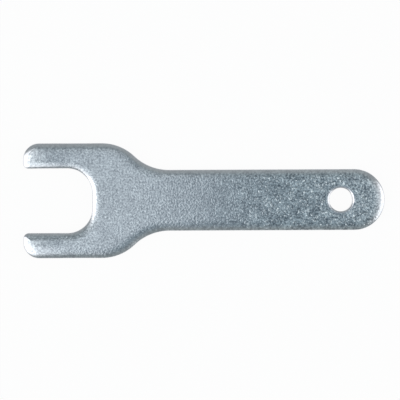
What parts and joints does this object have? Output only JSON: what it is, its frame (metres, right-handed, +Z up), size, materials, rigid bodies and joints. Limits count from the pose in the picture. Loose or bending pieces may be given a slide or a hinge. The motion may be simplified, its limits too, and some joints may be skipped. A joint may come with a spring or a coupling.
{
  "type": "flat open-jaw spanner",
  "caption": "Flat blanked steel spanner with an open U-shaped jaw, smooth shoulders and a round-ended handle with a hanging hole, for holding a spindle by its flats.",
  "frame": {"origin": "centre of the back face's bounding box, on the surface that the spanner lies on", "axes": "+X from the jaw towards the handle's round end, +Y across the spanner, +Z up through the sheet towards the rolled face"},
  "size_m": [0.095, 0.0302, 0.003],
  "materials": {
    "zinc_plated_steel": "bright zinc plate with a faint blue passivate, finely grained, smooth over the rolled edges"
  },
  "bodies": {
    "root": {"spanner_plate": "zinc_plated_steel"}
  },
  "joints": []
}
